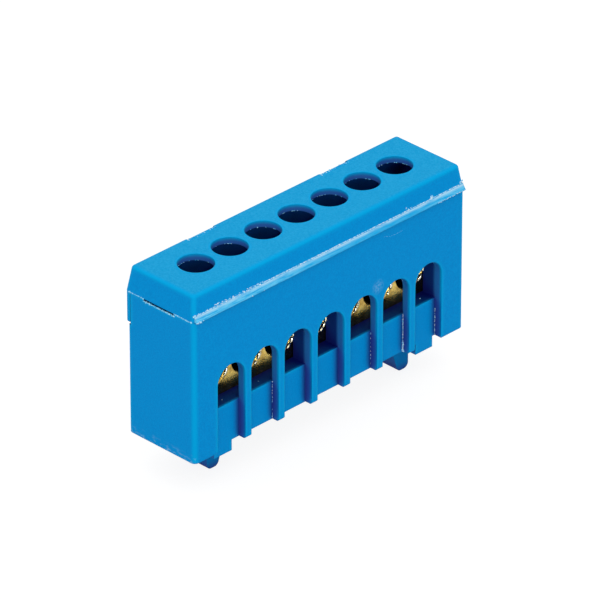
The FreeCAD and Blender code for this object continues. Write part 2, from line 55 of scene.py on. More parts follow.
WAYS = sum(name.startswith("clamp_screw_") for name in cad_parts)
SCREW_BOXES = [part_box(f"clamp_screw_{number}") for number in range(1, WAYS + 1)]
ROW = [(low.x + high.x) / 2 for low, high in SCREW_BOXES]

# Sizes of the moulding and the bar that no box shows
WINDOW_WIDTH = 5.33 * MM
CHANNEL_DEPTH = 1.26 * MM
SILL_HEIGHT = 6.1 * MM
COVER_DRAFT = 0.57 * MM
LIP_HEIGHT = 0.95 * MM
COVER_PLATE = 1.05 * MM
COVER_INSIDE = 5.1 * MM
DRIVER_HOLE_RADIUS = 2.63 * MM
PRY_SLOT_HALF = 3.0 * MM
PRY_SLOT_HEIGHT = 0.35 * MM
UPPER_BACK = 5.6 * MM
NOTCH_HALF = 2.75 * MM
NOTCH_BACK = 5.5 * MM
WIRE_HOLE_LEVEL = 10.5 * MM
WIRE_HOLE_RADIUS = 2.65 * MM

# Places worked out from these, and the frame's zero height, where the underside meets the rail
RAIL_LEVEL = 0.0
CHANNEL_WALL = FRONT + CHANNEL_DEPTH
LIP_TOP = SEAM + LIP_HEIGHT
PLATE_UNDERSIDE = COVER_TOP - COVER_PLATE
PRY_SLOT_FLOOR = SEAM - PRY_SLOT_HEIGHT

# The camera, fitted to the corners, windows and cover holes, and placed from the middle of the front's foot
CAMERA_AZIMUTH = math.radians(-45.234)
CAMERA_ELEVATION = math.radians(29.981)
CAMERA_DISTANCE = 1009.6 * MM
CAMERA_SIDE = -4.341 * MM
CAMERA_RISE = 13.219 * MM
PIXELS_PER_MM = 7.165
FRAME_PIXELS = 600
SENSOR_MM = 36

# How many times nearer or farther than the block the camera still sees
CLIP_FACTOR = 10


def make_camera():
    """Places the camera at the photograph's angle, aimed by an azimuth and an elevation."""
    sine = math.sin(CAMERA_AZIMUTH)
    cosine = math.cos(CAMERA_AZIMUTH)
    level = math.cos(CAMERA_ELEVATION)
    back = Vector((sine * level, -cosine * level, math.sin(CAMERA_ELEVATION)))
    side = Vector((cosine, sine, 0))
    rise = back.cross(side)
    data = bpy.data.cameras.new("camera")
    data.sensor_width = SENSOR_MM
    data.lens = PIXELS_PER_MM * (CAMERA_DISTANCE / MM) / FRAME_PIXELS * SENSOR_MM
    data.clip_start = CAMERA_DISTANCE / CLIP_FACTOR
    data.clip_end = CAMERA_DISTANCE * CLIP_FACTOR
    camera = bpy.data.objects.new("camera", data)
    bpy.context.scene.collection.objects.link(camera)
    origin = Vector((0, FRONT, 0))
    camera.location = origin + back * CAMERA_DISTANCE + side * CAMERA_SIDE + rise * CAMERA_RISE
    camera.rotation_euler = back.to_track_quat("Z", "Y").to_euler()
    bpy.context.scene.camera = camera


# Materials

# The range that holds nearly all values of a noise, and the range from nothing to all
NOISE_RANGE = (0.3, 0.7)
NONE_TO_ALL = (0.0, 1.0)

# The number of rays that tell how near an edge is
ROUNDING_SAMPLES = 6


class Shader:
    """A material with a short way to add nodes and join them."""

    def __init__(self, name):
        self.material = bpy.data.materials.new(name)
        self.material.use_nodes = True
        self.tree = self.material.node_tree
        self.surface = self.tree.nodes["Principled BSDF"]
        self.place = self.add("ShaderNodeTexCoord").outputs["Object"]
        self.x, self.y, self.z = self.split(self.place)

    def add(self, kind, **settings):
        node = self.tree.nodes.new(kind)
        for key, setting in settings.items():
            setattr(node, key, setting)
        return node

    def join(self, output, target):
        self.tree.links.new(output, target)

    def put(self, socket, given):
        """Joins an output to a socket, or sets the socket to a number or colour."""
        if isinstance(given, bpy.types.NodeSocket):
            self.join(given, socket)
        elif isinstance(given, tuple):
            socket.default_value = (*given, 1)
        else:
            socket.default_value = given

    def split(self, vector):
        """The three parts of a vector."""
        node = self.add("ShaderNodeSeparateXYZ")
        self.join(vector, node.inputs[0])
        return node.outputs

    def maths(self, operation, first, second=0.0):
        """One operation on two values; an operation on one value leaves the second out."""
        node = self.add("ShaderNodeMath", operation=operation)
        self.put(node.inputs[0], first)
        self.put(node.inputs[1], second)
        return node.outputs[0]

    def product(self, first, *others):
        """Several values multiplied together."""
        for other in others:
            first = self.maths("MULTIPLY", first, other)
        return first

    def either(self, first, second):
        """The stronger of two masks."""
        return self.maths("MAXIMUM", first, second)

    def magnitude(self, value):
        return self.maths("ABSOLUTE", value)

    def blend(self, factor, first, second):
        """The first colour where the factor is 0 and the second where it is 1."""
        node = self.add("ShaderNodeMix", data_type="RGBA")
        colours = [socket for socket in node.inputs if socket.type == "RGBA"]
        self.put(node.inputs["Factor"], factor)
        self.put(colours[0], first)
        self.put(colours[1], second)
        return next(socket for socket in node.outputs if socket.type == "RGBA")

    def spread(self, value, between, to=NONE_TO_ALL):
        """Turns one range of a value into another; what lies outside the range stays at its ends."""
        node = self.add("ShaderNodeMapRange")
        node.inputs["From Min"].default_value, node.inputs["From Max"].default_value = between
        node.inputs["To Min"].default_value, node.inputs["To Max"].default_value = to
        self.join(value, node.inputs["Value"])
        return node.outputs["Result"]

    def past(self, value, face, fade, to=NONE_TO_ALL):
        """0 before a face and 1 past it; the fade is where these begin, in millimetres from the face."""
        zero_at, one_at = fade
        return self.spread(value, (face + zero_at * MM, face + one_at * MM), to)

    def noise(self, size, detail=3.0, stretch=None):
        """Noise whose features are about size metres across, drawn out along the axes by stretch."""
        node = self.add("ShaderNodeTexNoise")
        node.inputs["Scale"].default_value = 1 / size
        node.inputs["Detail"].default_value = detail
        place = self.place
        if stretch:
            mapping = self.add("ShaderNodeMapping")
            mapping.inputs["Scale"].default_value = [1 / each for each in stretch]
            self.join(self.place, mapping.inputs["Vector"])
            place = mapping.outputs["Vector"]
        self.join(place, node.inputs["Vector"])
        return node.outputs["Fac"]

    def patches(self, size, between=NOISE_RANGE, to=NONE_TO_ALL, detail=3.0, stretch=None):
        """Uneven patches: noise with one range of its values turned into another."""
        return self.spread(self.noise(size, detail, stretch), between, to)

    def distance(self, point):
        node = self.add("ShaderNodeVectorMath", operation="DISTANCE")
        self.join(self.place, node.inputs[0])
        node.inputs[1].default_value = point
        return node.outputs["Value"]

    def shelter(self, distance):
        """How open a point is to its surroundings within a distance: 0 deep in a recess, 1 in the open."""
        node = self.add("ShaderNodeAmbientOcclusion")
        node.inputs["Distance"].default_value = distance
        return node.outputs["AO"]

    def rounded(self, radius):
        """The surface's normal, with its edges taken as rounded by a radius."""
        node = self.add("ShaderNodeBevel", samples=ROUNDING_SAMPLES)
        node.inputs["Radius"].default_value = radius
        return node.outputs["Normal"]

    def facing(self, radius):
        """The way the rounded surface faces, as three numbers."""
        return self.split(self.rounded(radius))

    def bump(self, height, distance, strength, after=None):
        node = self.add("ShaderNodeBump")
        node.inputs["Distance"].default_value = distance
        node.inputs["Strength"].default_value = strength
        self.join(height, node.inputs["Height"])
        if after is not None:
            self.join(after, node.inputs["Normal"])
        return node.outputs["Normal"]

    def finish(self, colour, roughness, normal=None):
        """Joins what was made to the surface."""
        self.join(colour, self.surface.inputs["Base Color"])
        self.join(roughness, self.surface.inputs["Roughness"])
        if normal is not None:
            self.join(normal, self.surface.inputs["Normal"])
        return self.material


# The blue plastic's colours, painted sheen, shade and edge highlight among them, its gloss and its roughness
PLASTIC = (0.0, 0.283, 0.720)
PLASTIC_PALE = (0.0, 0.330, 0.775)
PLASTIC_TOP_SHEEN = (0.003, 0.340, 0.695)
PLASTIC_TOP_SHEEN_PALE = (0.016, 0.400, 0.755)
PLASTIC_PAINTED_RECESS_SHADE = (0.001, 0.007, 0.15)
PLASTIC_PAINTED_CREASE_SHADE = (0.042, 0.070, 0.37)
PLASTIC_PAINTED_EDGE_HIGHLIGHT = (0.0, 0.41, 0.82)
SCUFFED = (0.015, 0.43, 0.85)
SCUFFED_PALE = (0.15, 0.64, 0.98)
SCUFFED_WHITE = (0.50, 0.80, 1.0)
PLASTIC_GLOSS = 0.03
PLASTIC_ROUGHNESS = (0.42, 0.54)

# How wide an edge's painted highlight is, how far edges look rounded, and how far the painted shade of
# recesses and creases reaches
EDGE_HIGHLIGHT_WIDTH = 1.1 * MM
EDGE_ROUNDING = 0.25 * MM
RECESS_REACH = 4.5 * MM
CREASE_REACH = 2.0 * MM

# The satin grain and the slow waves of a moulded face
GRAIN_SIZE = 0.12 * MM
GRAIN_DEPTH = 0.006 * MM
GRAIN_STRENGTH = 0.7
WAVE_SIZE = 2.2 * MM
WAVE_DEPTH = 0.02 * MM
WAVE_STRENGTH = 0.4

# How far a face turns upwards, or towards a corner, where the painted sheen on top and the painted edge
# highlight begin and where they are full
TOP_SHEEN_FROM = (0.80, 0.98)
SLANTED_FROM = (0.22, 0.50)
SLANTED_UNTIL = (0.97, 0.80)
CORNER_FROM = (0.08, 0.46)

# How open a place is where the painted edge highlight and the painted crease and recess shade begin and
# where they are full
OPEN_FROM = (0.70, 0.92)
CREASE_UNTIL = (0.42, 0.86)
DEEP_UNTIL = (0.40, 0.85)

# The painted recess shade is kept lighter on the hooks below the block. A fade, here and below, is two
# distances
# from a face in millimetres: where a tint is nothing and where it is full.
HOOK_FADE = (0.0, -0.8)
HOOK_LIGHTNESS = (0.0, 0.60)


def moulded_plastic(name):
    """Blue polyamide with a satin grain and a painted sheen on top, painted edge highlights and painted
    recess shade.

    Gives the shader, its colour, its roughness and its normal, so that a caller can add marks to the colour.
    """
    shader = Shader(name)
    shader.surface.inputs["Specular IOR Level"].default_value = PLASTIC_GLOSS
    mottle = shader.patches(size=0.24 * MM, between=(0.38, 0.64), detail=5)
    colour = shader.blend(mottle, PLASTIC, PLASTIC_PALE)
    across, along, up = shader.facing(EDGE_HIGHLIGHT_WIDTH)
    # Painted sheen: faces that turn upwards take a paler, greener tone for the light and gloss that fall on
    # the top
    top_sheen = shader.blend(mottle, PLASTIC_TOP_SHEEN, PLASTIC_TOP_SHEEN_PALE)
    colour = shader.blend(shader.spread(up, TOP_SHEEN_FROM), colour, top_sheen)

    openness = shader.shelter(RECESS_REACH)
    # Painted highlight: slanted faces and rounded corners in the open are paled as if they catch the light
    slanted = shader.product(shader.spread(up, SLANTED_FROM), shader.spread(up, SLANTED_UNTIL))
    corner = shader.spread(shader.magnitude(shader.product(across, along)), CORNER_FROM)
    edges = shader.product(shader.either(slanted, corner), shader.spread(openness, OPEN_FROM))
    colour = shader.blend(edges, colour, PLASTIC_PAINTED_EDGE_HIGHLIGHT)

    # Painted shade: creases take a darker violet tone and recesses a dark navy, kept lighter on the hooks
    out_of_crease = shader.spread(shader.shelter(CREASE_REACH), CREASE_UNTIL)
    colour = shader.blend(out_of_crease, PLASTIC_PAINTED_CREASE_SHADE, colour)
    on_hook = shader.past(shader.z, RAIL_LEVEL, HOOK_FADE, HOOK_LIGHTNESS)
    out_of_recess = shader.either(shader.spread(openness, DEEP_UNTIL), on_hook)
    colour = shader.blend(out_of_recess, PLASTIC_PAINTED_RECESS_SHADE, colour)

    grain = shader.bump(shader.noise(GRAIN_SIZE), GRAIN_DEPTH, GRAIN_STRENGTH, shader.rounded(EDGE_ROUNDING))
    normal = shader.bump(shader.noise(WAVE_SIZE, detail=2), WAVE_DEPTH, WAVE_STRENGTH, grain)
    roughness = shader.patches(size=0.4 * MM, to=PLASTIC_ROUGHNESS)
    return shader, colour, roughness, normal


# The smudge beside the last window but one
SMUDGE_PLACE = (ROW[-2] - 3.7 * MM, FRONT, 13.6 * MM)
SMUDGE_FADE = (1.3, 0.2)
SMUDGE_STRENGTH = (0.0, 0.24)

# The channels' jambs, which get a painted shade: how far sideways they face, where the shade begins behind
# the front, and its strength
JAMB_ROUNDING = 0.2 * MM
JAMB_FACING = (0.55, 0.90)
JAMB_FADE = (0.15, 0.55)
JAMB_SHADE_STRENGTH = 0.50

# The rub on the lower ends, from the rail level up and from the end faces in
RUB_FADE_UP = (1.5, 0.1)
RUB_FADE_IN = (-0.5, -0.05)
RUB_STRENGTH = (0.0, 0.34)

# The painted shade inside the housing, past its channel wall, back, ends and underside
WALL_FADE = (0.02, 0.50)
BACK_FADE = (-1.0, -1.6)
END_FADE = (-0.6, -1.0)
UNDERSIDE_FADE = (0.02, 0.40)
INSIDE_SHADE_STRENGTH = 0.82


def housing_plastic():
    """Painted shade inside its walls and on its channels' jambs, smudged beside one window, and rubbed at
    the bottom of its ends.
    """
    shader, colour, roughness, normal = moulded_plastic("housing_plastic")
    from_middle = shader.magnitude(shader.x)
    between_ends = shader.past(from_middle, HALF_LENGTH, END_FADE)

    near = shader.past(shader.distance(SMUDGE_PLACE), 0.0, SMUDGE_FADE, SMUDGE_STRENGTH)
    smudge = shader.product(near, shader.patches(size=0.3 * MM, between=(0.35, 0.60), detail=4))
    colour = shader.blend(smudge, colour, SCUFFED_WHITE)

    # Painted shade on the sideways faces of the channels' jambs
    sideways = shader.spread(shader.magnitude(shader.facing(JAMB_ROUNDING)[0]), JAMB_FACING)
    jambs = shader.product(sideways, shader.past(shader.y, FRONT, JAMB_FADE), between_ends, JAMB_SHADE_STRENGTH)
    colour = shader.blend(jambs, colour, PLASTIC_PAINTED_CREASE_SHADE)

    low = shader.past(shader.z, RAIL_LEVEL, RUB_FADE_UP)
    at_end = shader.past(from_middle, HALF_LENGTH, RUB_FADE_IN)
    worn = shader.patches(size=0.45 * MM, between=(0.50, 0.66), to=RUB_STRENGTH, detail=5, stretch=(1, 2, 1))
    colour = shader.blend(shader.product(low, at_end, worn), colour, SCUFFED_WHITE)

    # Painted shade inside the housing
    behind_wall = shader.past(shader.y, CHANNEL_WALL, WALL_FADE)
    before_back = shader.past(shader.y, BACK, BACK_FADE)
    above_rail = shader.past(shader.z, RAIL_LEVEL, UNDERSIDE_FADE)
    inside = shader.product(behind_wall, before_back, between_ends, above_rail, INSIDE_SHADE_STRENGTH)
    colour = shader.blend(inside, colour, PLASTIC_PAINTED_RECESS_SHADE)
    return shader.finish(colour, roughness, normal)


# The scuffed face of the lip, from the front and the seam, and the whiter band along its top
LIP_FACE_FADE = (0.10, 0.04)
LIP_FOOT_FADE = (0.02, 0.10)
LIP_BAND_FADE = (-0.45, -0.15)

# Wear along the lip, stronger towards its left and right ends
LEFT_WEAR_FADE = (8, -16)
LEFT_WEAR = (0.25, 1.0)
RIGHT_WEAR_FADE = (15, 24)
RIGHT_WEAR = (0.25, 0.85)

# The painted shade on the driver holes' walls, from the radius of the holes, the ends and the top
HOLE_ROW_FADE = (0.10, 0.0)
HOLE_END_FADE = (-1.7, -2.2)
HOLE_WALL_FADE = (-0.10, -0.60)
HOLE_SHADE_STRENGTH = 0.75

# The painted shade inside the cover, below its plate and between its walls
PLATE_FADE = (0.10, -0.10)
COVER_WALL_FADE = (0.30, 0.10)
COVER_INSIDE_SHADE_STRENGTH = 0.72


def cover_plastic():
    """Scuffed pale along its lip by fingers and tools, with painted shade in its holes and inside."""
    shader, colour, roughness, normal = moulded_plastic("cover_plastic")
    from_row = shader.magnitude(shader.y)
    between_ends = shader.past(shader.magnitude(shader.x), HALF_LENGTH, HOLE_END_FADE)

    before_front = shader.past(shader.y, FRONT, LIP_FACE_FADE)
    above_seam = shader.past(shader.z, SEAM, LIP_FOOT_FADE)
    streaks = shader.patches(size=0.22 * MM, between=(0.36, 0.60), detail=4, stretch=(9, 1, 1))
    left_wear = shader.past(shader.x, 0.0, LEFT_WEAR_FADE, LEFT_WEAR)
    right_wear = shader.past(shader.x, 0.0, RIGHT_WEAR_FADE, RIGHT_WEAR)
    worn = shader.product(streaks, shader.either(left_wear, right_wear))
    rubbed = shader.blend(worn, SCUFFED, SCUFFED_PALE)
    patches = shader.patches(size=0.5 * MM, between=(0.34, 0.56), to=(0.30, 1.0), stretch=(5, 1, 1))
    band = shader.product(shader.past(shader.z, LIP_TOP, LIP_BAND_FADE), patches)
    rubbed = shader.blend(band, rubbed, SCUFFED_WHITE)
    colour = shader.blend(shader.product(before_front, above_seam), colour, rubbed)

    # Painted shade on the walls of the driver holes
    in_row = shader.past(from_row, DRIVER_HOLE_RADIUS, HOLE_ROW_FADE)
    in_plate = shader.past(shader.z, COVER_TOP, HOLE_WALL_FADE)
    hole_shade = shader.product(in_row, between_ends, in_plate, HOLE_SHADE_STRENGTH)
    colour = shader.blend(hole_shade, colour, PLASTIC_PAINTED_CREASE_SHADE)

    # Painted shade inside the cover
    under_plate = shader.past(shader.z, PLATE_UNDERSIDE, PLATE_FADE)
    between_walls = shader.past(from_row, COVER_INSIDE, COVER_WALL_FADE)
    inside = shader.product(under_plate, between_walls, between_ends, COVER_INSIDE_SHADE_STRENGTH)
    colour = shader.blend(inside, colour, PLASTIC_PAINTED_RECESS_SHADE)
    return shader.finish(colour, roughness, normal)


# Torn plastic, white and pale, the pale one also a painted highlight along the housing's upper edge: the
# duller and the brighter colour of each
TORN_WHITE = ((0.14, 0.62, 0.93), (0.86, 0.96, 1.0))
TORN_PALE_AND_EDGE_HIGHLIGHT = ((0.03, 0.48, 0.84), (0.50, 0.86, 1.0))
TORN_GLOSS = 0.12


def torn_plastic(name, colours):
    """Thin flash and torn edges, which turn pale where the blue plastic is stressed."""
    shader = Shader(name)
    shader.surface.inputs["Specular IOR Level"].default_value = TORN_GLOSS
    colour = shader.blend(shader.patches(size=0.22 * MM, between=(0.38, 0.62)), *colours)
    return shader.finish(colour, shader.patches(size=0.1 * MM, to=(0.35, 0.60)))


# Metals
BRASS = (0.70, 0.50, 0.13)
BRASS_TARNISHED = (0.40, 0.25, 0.055)
BRASS_PAINTED_HOLE_SHADE = (0.22, 0.16, 0.035)
BRASS_CUT = (0.98, 0.86, 0.45)
# Near-white cut brass: a painted glint
BRASS_CUT_PAINTED_GLINT = (1.0, 0.98, 0.85)
STEEL = (0.50, 0.51, 0.50)
STEEL_BRIGHT = (0.70, 0.70, 0.66)

# The fade of the painted shade behind the bar's face, the drawing lines along it, the unevenness of its
# holes, and how strongly both show
BAR_FACE_FADE = (0.30, 0.02)
LINE_SIZE = 0.08 * MM
LINE_DEPTH = 0.006 * MM
DRILLED_SIZE = 0.22 * MM
DRILLED_DEPTH = 0.05 * MM
BAR_ROUNDING = 0.08 * MM
BAR_STRENGTH = 0.6

# The plating's unevenness
PLATING_SIZE = 0.25 * MM
PLATING_DEPTH = 0.008 * MM
PLATING_STRENGTH = 0.7


def metal(name):
    shader = Shader(name)
    shader.surface.inputs["Metallic"].default_value = 1
    return shader


def brass():
    """Drawn brass with fine lines along the bar, tarnished, and with painted shade inside its holes."""
    shader = metal("drawn_brass")
    lines = shader.noise(LINE_SIZE, stretch=(14, 1, 1))
    tarnish = shader.patches(size=0.9 * MM, between=(0.40, 0.66), detail=4)
    colour = shader.blend(tarnish, BRASS, BRASS_TARNISHED)
    # Painted shade: the brass behind the bar's face, inside the wire holes, is darkened
    on_face = shader.past(shader.y, BAR_FRONT, BAR_FACE_FADE)
    colour = shader.blend(on_face, BRASS_PAINTED_HOLE_SHADE, colour)
    drilled = shader.noise(DRILLED_SIZE, detail=2, stretch=(1, 0.35, 1))
    uneven = shader.bump(drilled, DRILLED_DEPTH, BAR_STRENGTH, shader.rounded(BAR_ROUNDING))
    normal = shader.bump(lines, LINE_DEPTH, BAR_STRENGTH, uneven)
    return shader.finish(colour, shader.spread(lines, NOISE_RANGE, to=(0.12, 0.26)), normal)


def bright_brass():
    """Freshly cut brass of the drill's burrs, paled towards white as a painted glint."""
    shader = metal("cut_brass")
    colour = shader.blend(shader.patches(size=0.2 * MM, between=(0.35, 0.65)), BRASS_CUT, BRASS_CUT_PAINTED_GLINT)
    return shader.finish(colour, shader.patches(size=0.1 * MM, to=(0.08, 0.25)))


def plated_steel():
    """Zinc-plated steel, slightly uneven in its plating."""
    shader = metal("plated_steel")
    colour = shader.blend(shader.patches(size=0.8 * MM, detail=4), STEEL, STEEL_BRIGHT)
    normal = shader.bump(shader.noise(PLATING_SIZE), PLATING_DEPTH, PLATING_STRENGTH)
    return shader.finish(colour, shader.patches(size=0.3 * MM, to=(0.22, 0.42)), normal)


def paint(node, material):
    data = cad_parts[node].data
    data.materials.clear()
    data.materials.append(material)


def dress_nodes():
    paint("housing", housing_plastic())
    paint("cover", cover_plastic())
    paint("busbar", brass())
    steel = plated_steel()
    for number in range(1, WAYS + 1):
        paint(f"clamp_screw_{number}", steel)


# Flash and burrs


class Crumbs:
    """Small lumps that lie along edges, all in one mesh: ragged ones of plastic or smooth ones of metal."""

    # How much the corners of a lump stand in or out, as shares of its size
    RAGGED = (0.65, 1.2)
    SMOOTH = (0.92, 1.1)

    # Along a line: the step between lumps, how far they stray, and how much places, widths and lengths vary
    STEP = 0.14 * MM
    DRIFT = 0.05 * MM
    STEP_CHANGE = (-0.3, 0.3)
    WIDTHS = (0.5, 1.35)
    LENGTHS = (1.1, 2.4)

    # Round a circle: the step between lumps, and how much places, widths and lengths vary
    ARC_STEP = 0.15 * MM
    ARC_STEP_CHANGE = (-0.4, 0.4)
    ARC_WIDTHS = (0.5, 1.5)
    ARC_LENGTHS = (1.0, 2.2)

    def __init__(self, name, seed, smooth=False):
        self.name = name
        self.dice = random.Random(seed)
        self.mesh = bmesh.new()
        self.smooth = smooth

    def lump(self, place, along, length, width):
        """One uneven lump, drawn out along a direction."""
        turn = Vector(along).to_track_quat("Z", "Y").to_matrix().to_4x4()
        shape = Matrix.LocRotScale(None, None, Vector((width / 2, width / 2, length / 2)))
        made = bmesh.ops.create_icosphere(self.mesh, subdivisions=2 if self.smooth else 1, radius=1)
        unevenness = self.SMOOTH if self.smooth else self.RAGGED
        for vert in made["verts"]:
            vert.co *= self.dice.uniform(*unevenness)
            vert.co = Vector(place) + turn @ (shape @ vert.co)

    def run(self, start, end, width, step=STEP, drift=DRIFT, keep=1.0, taper=0.0):
        """A row of lumps from one point to another.

        keep is the share that isn't broken away, and taper the share by which the width grows to the end.
        """
        start, end = Vector(start), Vector(end)
        span = end - start
        count = max(2, int(span.length / step))
        for index in range(count):
            share = (index + self.dice.uniform(*self.STEP_CHANGE)) / (count - 1)
            size = width * self.dice.uniform(*self.WIDTHS) * (1 + taper * share)
            length = step * self.dice.uniform(*self.LENGTHS)
            aside = Vector([self.dice.uniform(-drift, drift) for _ in range(3)])
            if self.dice.random() < keep:
                self.lump(start + span * share + aside, span, length, size)

    def arc(self, centre, radius, span, width, keep):
        """A row of lumps round part of an upright circle; span is two angles in degrees from +X upwards."""
        first, last = (math.radians(angle) for angle in span)
        count = max(2, int(abs(last - first) * radius / self.ARC_STEP))
        for index in range(count):
            share = (index + self.dice.uniform(*self.ARC_STEP_CHANGE)) / (count - 1)
            angle = first + (last - first) * share
            spoke = Vector((math.cos(angle), 0, math.sin(angle)))
            tangent = Vector((-math.sin(angle), 0, math.cos(angle)))
            if self.dice.random() < keep:
                size = width * self.dice.uniform(*self.ARC_WIDTHS)
                length = size * self.dice.uniform(*self.ARC_LENGTHS)
                self.lump(Vector(centre) + spoke * radius, tangent, length, size)

    def finish(self, material, slot):
        """Makes the mesh a piece that rides on the block.

        It casts no shadow, because such thin flash lets light through and the burrs are tiny.
        """
        data = bpy.data.meshes.new(self.name)
        for face in self.mesh.faces:
            face.smooth = self.smooth
        self.mesh.to_mesh(data)
        self.mesh.free()
        data.materials.append(material)
        piece = bpy.data.objects.new(self.name, data)
        piece.visible_shadow = False
        bpy.context.scene.collection.objects.link(piece)
        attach(piece, "block")


# Directions along the block and down
ACROSS = (1, 0, 0)
DOWN = Vector((0, 0, -1))

# Specks on the sills: the terminal, and in millimetres how far right of its middle and how big
SILL_SPECKS = ((7, 0.9, 0.22), (2, 1.2, 0.18), (1, 0.6, 0.14))
SILL_SPECK_DEPTH = 2.5 * MM

# Flash down the jambs: the terminal, its start and end below the sill and its width in millimetres, and the
# share of it that is left
JAMB_FLASH = (
    (2, 0.1, 5.9, 0.11, 0.5),
    (5, 0.3, 5.6, 0.09, 0.4),
    (6, 0.0, 5.9, 0.17, 1.0),
    (7, 1.8, 5.8, 0.13, 0.8),
)
JAMB_DRIFT = 0.03 * MM

# Its thick lower ends: the terminal, both ends from the foot of the jamb and the width in millimetres, and
# the taper
JAMB_TAILS = (
    (6, (-0.08, -0.10, -4.6), (-0.08, -0.10, -6.0), 0.34, 0.6),
    (7, (0.0, 0.0, -4.7), (0.35, -0.3, -6.0), 0.16, 0.0),
)


def jamb_foot(way):
    """The inner corner between a channel's panel and its right jamb, at the sill."""
    return Vector((ROW[way - 1] + WINDOW_WIDTH / 2, CHANNEL_WALL, SILL_HEIGHT))


def make_jamb_flash(white):
    """Flash left in four of the channels, from faint dots to a thick white line."""
    crumbs = Crumbs("channel_flash", seed=11)
    for way, aside, size in SILL_SPECKS:
        place = (ROW[way - 1] + aside * MM, FRONT + SILL_SPECK_DEPTH, SILL_HEIGHT)
        crumbs.lump(place, ACROSS, size * MM, size * MM)
    for way, first, last, width, keep in JAMB_FLASH:
        foot = jamb_foot(way)
        start = foot + DOWN * first * MM
        end = foot + DOWN * last * MM
        crumbs.run(start, end, width * MM, drift=JAMB_DRIFT, keep=keep)
    for way, first, last, width, taper in JAMB_TAILS:
        foot = jamb_foot(way)
        crumbs.run(foot + Vector(first) * MM, foot + Vector(last) * MM, width * MM, taper=taper)
    crumbs.finish(white, "housing_plastic")


# The flash on the lip's top edge: its ends, where it is no longer rough, where it is fine, and how far it
# stands out
LIP_LEFT = -HALF_LENGTH + 0.3 * MM
LIP_RIGHT = HALF_LENGTH - 0.3 * MM
LIP_ROUGH_END = LIP_LEFT + 13.5 * MM
LIP_FINE_START = LIP_LEFT + 33 * MM
LIP_OVERHANG = 0.03 * MM

# A second line above the rough stretch: its start, and the height of both its ends
LIP_SECOND_START = LIP_LEFT + 4 * MM
LIP_SECOND_LEFT = LIP_TOP + 0.25 * MM
LIP_SECOND_RIGHT = LIP_TOP + 0.22 * MM

# The flash on the lip's foot: its height, and where it ends at the left corner and starts again at the right
LIP_FOOT_LEVEL = SEAM + 0.1 * MM
LIP_FOOT_END = LIP_LEFT + 0.6 * MM
LIP_FOOT_START = LIP_RIGHT - 5.5 * MM

# Lumps on the lip's top edge and foot, in millimetres: the place from its left end, and the size
LIP_LUMPS = ((0.0, 0.42), (0.75, 0.34), (6.6, 0.42), (11.6, 0.34))
LIP_LUMP_RISE = 0.05 * MM
LIP_LUMP_TILT = (1, 0, 0.2)
LIP_FOOT_LUMPS = ((1.2, 0.16), (10.6, 0.16), (12.9, 0.1))
LIP_FOOT_LUMP_LENGTH = 0.25 * MM

# Specks above the lip, in millimetres: the place along the block, the height and the size
LIP_SPECKS = (
    (20.1, 23.5, 0.55),
    (15.4, 23.45, 0.27),
    (15.0, 23.75, 0.22),
    (15.9, 23.5, 0.18),
    (11.0, 23.1, 0.18),
    (22.6, 23.2, 0.20),
    (25.9, 23.6, 0.34),
    (26.3, 23.75, 0.26),
)
LIP_SPECK_TILT = (0.3, 0, 1)

# How much longer than wide the lumps and the specks are
LUMP_STRETCH = 1.3
SPECK_STRETCH = 1.4


def on_cover(x, z):
    """A point just before the cover's drafted front face."""
    face = FRONT + COVER_DRAFT * (z - SEAM) / (COVER_TOP - SEAM)
    return Vector((x, face - LIP_OVERHANG, z))


def lip_foot(x):
    """A point on the lower edge of the lip."""
    return Vector((x, LIP_FRONT, LIP_FOOT_LEVEL))


def make_lip_flash(white):
    """A torn white edge along the top of the cover's lip, roughest at its left end."""
    crumbs = Crumbs("lip_flash", seed=23)
    left = on_cover(LIP_LEFT, LIP_TOP)
    rough_end = on_cover(LIP_ROUGH_END, LIP_TOP)
    fine_start = on_cover(LIP_FINE_START, LIP_TOP)
    right = on_cover(LIP_RIGHT, LIP_TOP)
    upper_left = on_cover(LIP_SECOND_START, LIP_SECOND_LEFT)
    upper_right = on_cover(LIP_ROUGH_END, LIP_SECOND_RIGHT)
    crumbs.run(left, rough_end, width=0.22 * MM, step=0.13 * MM, drift=0.06 * MM, keep=0.85)
    crumbs.run(upper_left, upper_right, width=0.15 * MM, keep=0.45)
    crumbs.run(rough_end, fine_start, width=0.18 * MM, step=0.24 * MM, drift=0.02 * MM)
    crumbs.run(fine_start, right, width=0.15 * MM, step=0.30 * MM, drift=0.01 * MM)
    for x, size in LIP_LUMPS:
        place = on_cover(LIP_LEFT + x * MM, LIP_TOP + LIP_LUMP_RISE)
        crumbs.lump(place, LIP_LUMP_TILT, LUMP_STRETCH * size * MM, size * MM)
    crumbs.run(lip_foot(LIP_LEFT), lip_foot(LIP_FOOT_END), width=0.3 * MM)
    crumbs.run(lip_foot(LIP_FOOT_START), lip_foot(LIP_RIGHT), width=0.11 * MM, keep=0.8)
    for x, width in LIP_FOOT_LUMPS:
        crumbs.lump(lip_foot(LIP_LEFT + x * MM), ACROSS, LIP_FOOT_LUMP_LENGTH, width * MM)
    for x, z, size in LIP_SPECKS:
        crumbs.lump(on_cover(x * MM, z * MM), LIP_SPECK_TILT, SPECK_STRETCH * size * MM, size * MM)
    crumbs.finish(white, "cover_plastic")


# The scratch's points on the front face, in millimetres along the block and up
SCRATCH_POINTS = ((10.5, 21.1), (11.8, 20.7), (13.3, 20.6), (14.9, 20.8))
SCRATCH_WIDTH = 0.05 * MM
SCRATCH_DRIFT = 0.01 * MM


